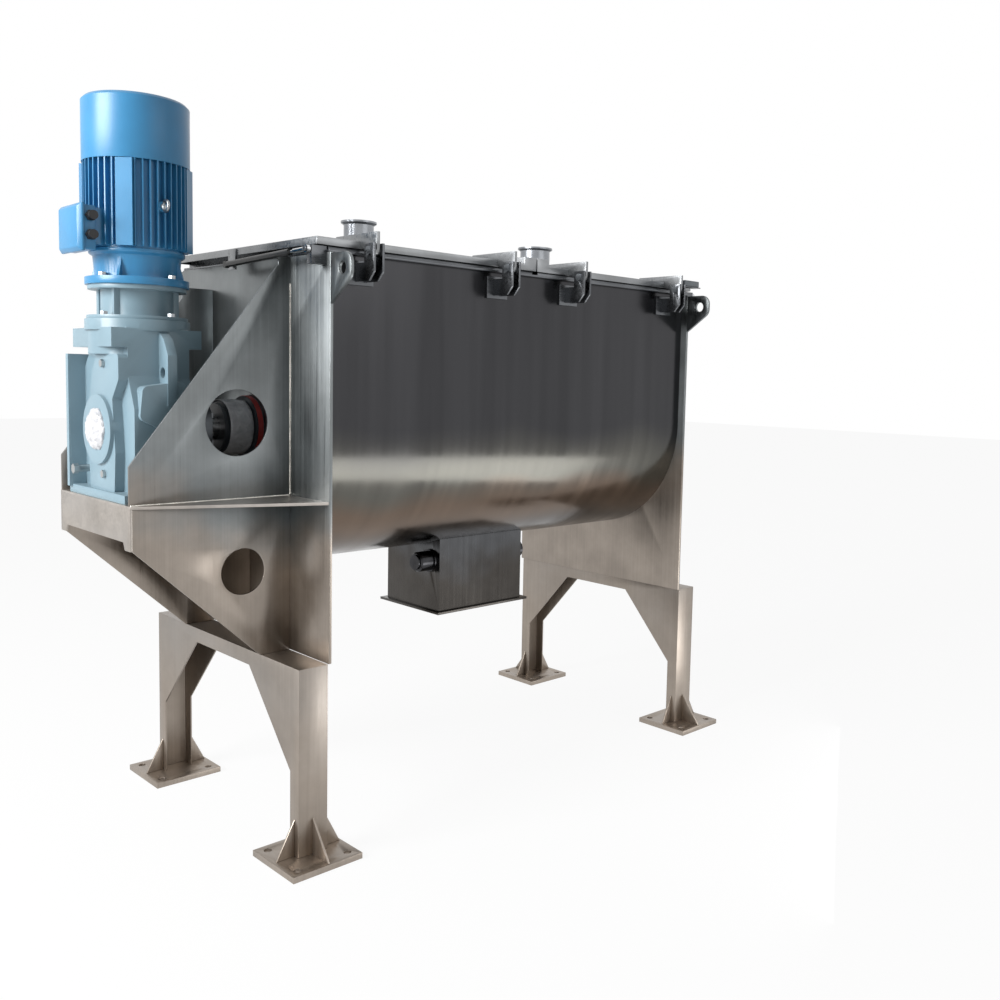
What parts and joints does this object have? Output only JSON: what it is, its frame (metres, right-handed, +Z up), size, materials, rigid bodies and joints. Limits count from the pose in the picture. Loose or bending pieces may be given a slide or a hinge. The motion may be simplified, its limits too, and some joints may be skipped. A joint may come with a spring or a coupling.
{
  "type": "ribbon blender",
  "caption": "Horizontal ribbon blender: U-shaped trough on leg portals, hinged lids on gas springs, double ribbon agitator, upright geared motor and a bottom flap valve.",
  "frame": {"origin": "centre of the machine's bounding box, on the floor", "axes": "+X along the agitator shaft from the drive end to the far end, +Z up, -Y is the hinge side"},
  "size_m": [2.656, 1.274, 2.445],
  "materials": {
    "trough_skin": "mirror polished",
    "end_plates": "brushed",
    "rim_flange": "brushed",
    "legs": "brushed",
    "shelf_plates": "brushed",
    "hinge_steel": "brushed",
    "lid_sheet": "satin",
    "lid_gaskets": "matt",
    "bright_round": "polished",
    "spring_rods": "polished",
    "spring_tubes": "satin black",
    "hopper_steel": "brushed",
    "valve_parts": "turned",
    "agitator_steel": "polished",
    "coupling_iron": "machined",
    "bearing_paint": "painted",
    "bearing_steel": "ground",
    "seal_packing": "matt",
    "fasteners": "zinc",
    "gear_paint": "gloss paint",
    "gear_cap_cover": "wrapped",
    "motor_paint": "gloss paint",
    "motor_shaft_steel": "ground",
    "fan_plastic": "matt",
    "gland_plastic": "matt"
  },
  "bodies": {
    "frame": {"bearing_covers": "bearing_paint", "bearing_housings": "bearing_paint", "cable_glands": "gland_plastic", "discharge_hopper": "hopper_steel", "drive_bolts": "fasteners", "drive_end_plate": "end_plates", "drive_leg_portal": "legs", "drive_shelf": "shelf_plates", "eye_bolt": "fasteners", "fan_cowl": "motor_paint", "far_end_plate": "end_plates", "far_leg_portal": "legs", "foot_plates": "legs", "foot_ribs": "legs", "gas_spring_anchors": "hinge_steel", "gear_fasteners": "fasteners", "gear_housing": "gear_paint", "gear_output_cap": "gear_cap_cover", "hinge_lugs": "hinge_steel", "hinge_pins": "hinge_steel", "lifting_ears": "end_plates", "lower_side_plates": "shelf_plates", "motor_flange_shield": "motor_paint", "motor_frame": "motor_paint", "motor_lantern": "gear_paint", "rim_frame": "rim_flange", "shaft_bearings": "bearing_steel", "shaft_seals": "seal_packing", "terminal_box": "motor_paint", "terminal_box_lid": "motor_paint", "trough_shell": "trough_skin", "upper_side_plates": "shelf_plates", "valve_actuator": "valve_parts", "valve_bearing": "valve_parts"},
    "agitator": {"main_shaft": "agitator_steel", "ribbon_spokes": "agitator_steel", "outer_ribbon": "agitator_steel", "inner_ribbon": "agitator_steel", "coupling_shaft_half": "coupling_iron", "coupling_gear_half": "coupling_iron", "coupling_bolts": "fasteners"},
    "motor_rotor": {"motor_shaft": "motor_shaft_steel", "motor_fan": "fan_plastic"},
    "lid_1": {"lid_1": "lid_sheet", "lid_1_brackets": "hinge_steel", "lid_1_gasket": "lid_gaskets", "lid_1_handle": "bright_round", "inlet_1": "bright_round"},
    "lid_2": {"lid_2": "lid_sheet", "lid_2_brackets": "hinge_steel", "lid_2_gasket": "lid_gaskets", "lid_2_handle": "bright_round", "inlet_2": "bright_round"},
    "spring_1_rod": {"gas_spring_1_rod": "spring_rods"},
    "spring_1_tube": {"gas_spring_1_tube": "spring_tubes"},
    "spring_2_rod": {"gas_spring_2_rod": "spring_rods"},
    "spring_2_tube": {"gas_spring_2_tube": "spring_tubes"},
    "flap": {"discharge_flap": "hopper_steel", "valve_spindle": "valve_parts"}
  },
  "joints": [
    {"name": "agitator_spin", "type": "hinge", "parent": "frame", "child": "agitator", "pos_m": [0, 0, 1.4], "axis": [1, 0, 0], "continuous": true},
    {"name": "motor_spin", "type": "hinge", "parent": "frame", "child": "motor_rotor", "pos_m": [-1.112, 0, 2], "axis": [0, 0, 1], "continuous": true},
    {"name": "lid_1_hinge", "type": "hinge", "parent": "frame", "child": "lid_1", "pos_m": [-0.272, -0.573, 1.991], "axis": [1, 0, 0], "range_deg": [0, 85]},
    {"name": "lid_2_hinge", "type": "hinge", "parent": "frame", "child": "lid_2", "pos_m": [0.696, -0.573, 1.991], "axis": [1, 0, 0], "range_deg": [0, 85]},
    {"name": "gas_spring_1_pivot", "type": "hinge", "parent": "frame", "child": "spring_1_rod", "pos_m": [-0.78, -0.485, 1.985], "axis": [1, 0, 0], "range_deg": [0, 94]},
    {"name": "gas_spring_1_slide", "type": "slide", "parent": "spring_1_rod", "child": "spring_1_tube", "axis": [0, 0.9995, -0.0321], "range_m": [0, 0.09]},
    {"name": "gas_spring_2_pivot", "type": "hinge", "parent": "frame", "child": "spring_2_rod", "pos_m": [1.204, -0.485, 1.985], "axis": [1, 0, 0], "range_deg": [0, 94]},
    {"name": "gas_spring_2_slide", "type": "slide", "parent": "spring_2_rod", "child": "spring_2_tube", "axis": [0, 0.9995, -0.0321], "range_m": [0, 0.09]},
    {"name": "flap_swing", "type": "hinge", "parent": "frame", "child": "flap", "pos_m": [0.24, -0.118, 0.85], "axis": [-1, 0, 0], "range_deg": [0, 65]}
  ],
  "couplings": [
    {"joint": "motor_spin", "follows": "agitator_spin", "ratio": 40},
    {"joint": "gas_spring_1_pivot", "follows": "lid_1_hinge", "ratio": 1.0926},
    {"joint": "gas_spring_1_slide", "follows": "lid_1_hinge", "m_per_rad": 0.0603},
    {"joint": "gas_spring_2_pivot", "follows": "lid_2_hinge", "ratio": 1.0926},
    {"joint": "gas_spring_2_slide", "follows": "lid_2_hinge", "m_per_rad": 0.0603}
  ]
}
